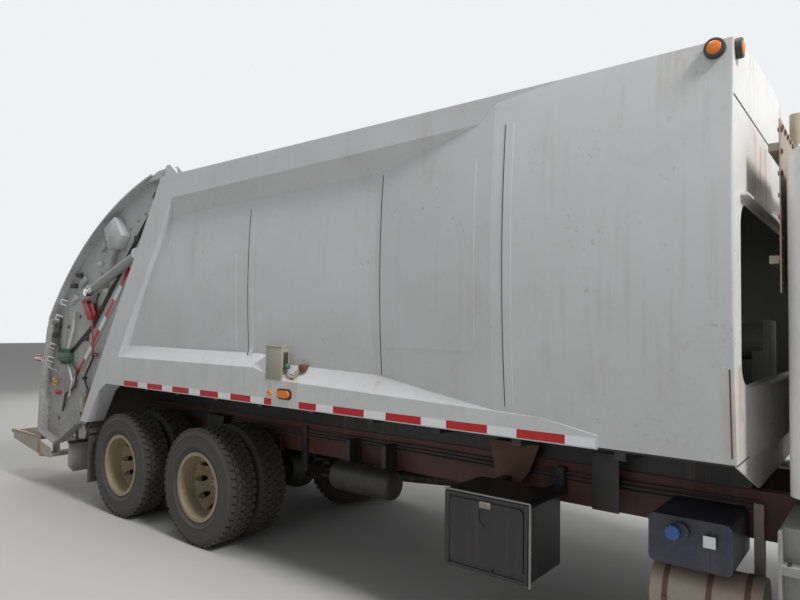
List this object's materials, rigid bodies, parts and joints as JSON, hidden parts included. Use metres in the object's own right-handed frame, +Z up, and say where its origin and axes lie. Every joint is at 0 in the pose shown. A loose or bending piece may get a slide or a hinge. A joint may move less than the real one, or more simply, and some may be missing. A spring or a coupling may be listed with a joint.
{
  "type": "rear-loading garbage truck",
  "caption": "Three-axle conventional garbage truck: bulged steel load body, hinged rear hopper tailgate with packer slide and blade, twin lift cylinders, ejector panel, tilting hood.",
  "frame": {"origin": "on the ground, under the middle of the overall length and on the centre line", "axes": "+X forward, +Y to the driver's left, +Z up"},
  "size_m": [11.35, 2.72, 3.5],
  "materials": {
    "body_white": "weathered satin",
    "cab_white": "gloss",
    "frame_maroon": "worn satin",
    "chassis_black": "dusty satin",
    "worn_steel": "worn and rusty",
    "stack_steel": "heat stained",
    "rod_chrome": "polished",
    "barrel_grey": "satin",
    "bumper_steel": "polished",
    "tank_aluminium": "dull",
    "step_cream": "worn satin",
    "plastic_black": "matt",
    "flap_rubber": "matt",
    "seat_fabric": "woven",
    "clear_glass": "clear",
    "lamp_clear": "clear",
    "lamp_amber": "gloss",
    "lamp_red": "gloss",
    "tyre_black": "matt",
    "rim_cream": "worn satin"
  },
  "bodies": {
    "chassis": {"frame_ladder": "frame_maroon", "front_axle": "chassis_black", "drive_axles": "chassis_black", "engine_block": "worn_steel", "fuel_tank": "tank_aluminium", "step_box": "step_cream", "def_tank": "chassis_black", "exhaust": "stack_steel", "air_tanks": "chassis_black", "toolbox": "plastic_black", "front_bumper": "bumper_steel", "mudflaps": "flap_rubber", "cab_shell": "cab_white", "cab_glass": "clear_glass", "seats": "seat_fabric", "cab_interior": "plastic_black", "mirrors": "plastic_black", "body_floor": "frame_maroon", "body_shell": "body_white", "front_wall": "body_white", "body_rails": "body_white", "rear_posts": "body_white", "marker_lamps": "lamp_amber", "ejector_barrel": "barrel_grey"},
    "toolbox_lid": {"toolbox_door": "plastic_black"},
    "left_door": {"door_left": "cab_white", "door_glass_left": "clear_glass"},
    "right_door": {"door_right": "cab_white", "door_glass_right": "clear_glass"},
    "hood_assembly": {"hood": "cab_white", "grille": "rod_chrome", "headlamps": "lamp_clear"},
    "tailgate": {"tailgate_sides": "body_white", "tailgate_cover": "body_white", "hopper_floor": "worn_steel", "riding_steps": "worn_steel", "tail_lamps": "lamp_red"},
    "carrier": {"packer_carrier": "worn_steel"},
    "blade": {"packer_blade": "worn_steel"},
    "lift_barrel": {"lift_barrels": "chassis_black"},
    "lift_rod": {"lift_rods": "rod_chrome"},
    "blade_barrel": {"blade_barrels": "chassis_black"},
    "blade_rod": {"blade_rods": "rod_chrome"},
    "ejector": {"ejector_panel": "worn_steel"},
    "stage_1": {"ejector_stage_1": "rod_chrome"},
    "stage_2": {"ejector_stage_2": "rod_chrome"},
    "steer_left": {"knuckle_left": "chassis_black"},
    "steer_right": {"knuckle_right": "chassis_black"},
    "front_wheel_left": {"front_tyre_left": "tyre_black", "front_rim_left": "rim_cream"},
    "front_wheel_right": {"front_tyre_right": "tyre_black", "front_rim_right": "rim_cream"},
    "wheels_1_left": {"tyres_axle_1_left": "tyre_black", "rims_axle_1_left": "rim_cream"},
    "wheels_1_right": {"tyres_axle_1_right": "tyre_black", "rims_axle_1_right": "rim_cream"},
    "wheels_2_left": {"tyres_axle_2_left": "tyre_black", "rims_axle_2_left": "rim_cream"},
    "wheels_2_right": {"tyres_axle_2_right": "tyre_black", "rims_axle_2_right": "rim_cream"}
  },
  "joints": [
    {"name": "tailgate_lift", "type": "hinge", "parent": "chassis", "child": "tailgate", "pos_m": [-2.275, 0, 3.43], "axis": [0, 1, 0], "range_deg": [0, 60]},
    {"name": "lift_barrel_swing", "type": "hinge", "parent": "chassis", "child": "lift_barrel", "pos_m": [-2.837, 0, 2.66], "axis": [0, 1, 0], "range_deg": [0, 72.42]},
    {"name": "lift_rod_slide", "type": "slide", "parent": "lift_barrel", "child": "lift_rod", "axis": [-0.9419, 0, -0.3358], "range_m": [0, 0.9059]},
    {"name": "carrier_slide", "type": "slide", "parent": "tailgate", "child": "carrier", "axis": [0.506, 0, 0.8625], "range_m": [0, 0.42]},
    {"name": "blade_swing", "type": "hinge", "parent": "carrier", "child": "blade", "pos_m": [-4.155, 0, 1.7], "axis": [0, 1, 0], "range_deg": [0, 80]},
    {"name": "blade_barrel_swing", "type": "hinge", "parent": "carrier", "child": "blade_barrel", "pos_m": [-3.8968, 0, 2.47604], "axis": [0, 1, 0], "range_deg": [0, 0.799]},
    {"name": "blade_rod_slide", "type": "slide", "parent": "blade_barrel", "child": "blade_rod", "axis": [-0.5437, 0, -0.8393], "range_m": [-0.3511, 0]},
    {"name": "ejector_slide", "type": "slide", "parent": "chassis", "child": "ejector", "axis": [-1, 0, 0], "range_m": [0, 3.7]},
    {"name": "ejector_stage_1_slide", "type": "slide", "parent": "chassis", "child": "stage_1", "axis": [-1, 0, 0], "range_m": [0, 1.2343]},
    {"name": "ejector_stage_2_slide", "type": "slide", "parent": "chassis", "child": "stage_2", "axis": [-1, 0, 0], "range_m": [0, 2.4687]},
    {"name": "left_door_hinge", "type": "hinge", "parent": "chassis", "child": "left_door", "pos_m": [4.221, 1.068, 1.985], "axis": [0, 0, -1], "range_deg": [0, 70]},
    {"name": "right_door_hinge", "type": "hinge", "parent": "chassis", "child": "right_door", "pos_m": [4.221, -1.068, 1.985], "axis": [0, 0, 1], "range_deg": [0, 70]},
    {"name": "hood_tilt", "type": "hinge", "parent": "chassis", "child": "hood_assembly", "pos_m": [5.505, 0, 0.95], "axis": [0, 1, 0], "range_deg": [0, 70]},
    {"name": "toolbox_lid_hinge", "type": "hinge", "parent": "chassis", "child": "toolbox_lid", "pos_m": [1.225, -1.1075, 0.46], "axis": [1, 0, 0], "range_deg": [0, 90]},
    {"name": "steer_right_kingpin", "type": "hinge", "parent": "chassis", "child": "steer_right", "pos_m": [4.525, -0.86, 0.515], "axis": [0, 0, 1], "range_deg": [-35, 35]},
    {"name": "steer_left_kingpin", "type": "hinge", "parent": "chassis", "child": "steer_left", "pos_m": [4.525, 0.86, 0.515], "axis": [0, 0, 1], "range_deg": [-35, 35]},
    {"name": "front_wheel_left_spin", "type": "hinge", "parent": "steer_left", "child": "front_wheel_left", "pos_m": [4.525, 1.03, 0.515], "axis": [0, 1, 0], "continuous": true},
    {"name": "wheels_1_left_spin", "type": "hinge", "parent": "chassis", "child": "wheels_1_left", "pos_m": [-1.675, 0.9025, 0.515], "axis": [0, 1, 0], "continuous": true},
    {"name": "wheels_2_left_spin", "type": "hinge", "parent": "chassis", "child": "wheels_2_left", "pos_m": [-3.005, 0.9025, 0.515], "axis": [0, 1, 0], "continuous": true},
    {"name": "front_wheel_right_spin", "type": "hinge", "parent": "steer_right", "child": "front_wheel_right", "pos_m": [4.525, -1.03, 0.515], "axis": [0, 1, 0], "continuous": true},
    {"name": "wheels_1_right_spin", "type": "hinge", "parent": "chassis", "child": "wheels_1_right", "pos_m": [-1.675, -0.9025, 0.515], "axis": [0, 1, 0], "continuous": true},
    {"name": "wheels_2_right_spin", "type": "hinge", "parent": "chassis", "child": "wheels_2_right", "pos_m": [-3.005, -0.9025, 0.515], "axis": [0, 1, 0], "continuous": true}
  ],
  "couplings": [
    {"joint": "lift_barrel_swing", "follows": "tailgate_lift", "ratio": 1.1987},
    {"joint": "lift_rod_slide", "follows": "tailgate_lift", "m_per_rad": 0.86126},
    {"joint": "blade_barrel_swing", "follows": "blade_swing", "ratio": 0.00374},
    {"joint": "blade_rod_slide", "follows": "blade_swing", "m_per_rad": -0.24858},
    {"joint": "ejector_stage_1_slide", "follows": "ejector_slide", "ratio": 0.33333},
    {"joint": "ejector_stage_2_slide", "follows": "ejector_slide", "ratio": 0.66667},
    {"joint": "steer_left_kingpin", "follows": "steer_right_kingpin", "ratio": 1}
  ]
}
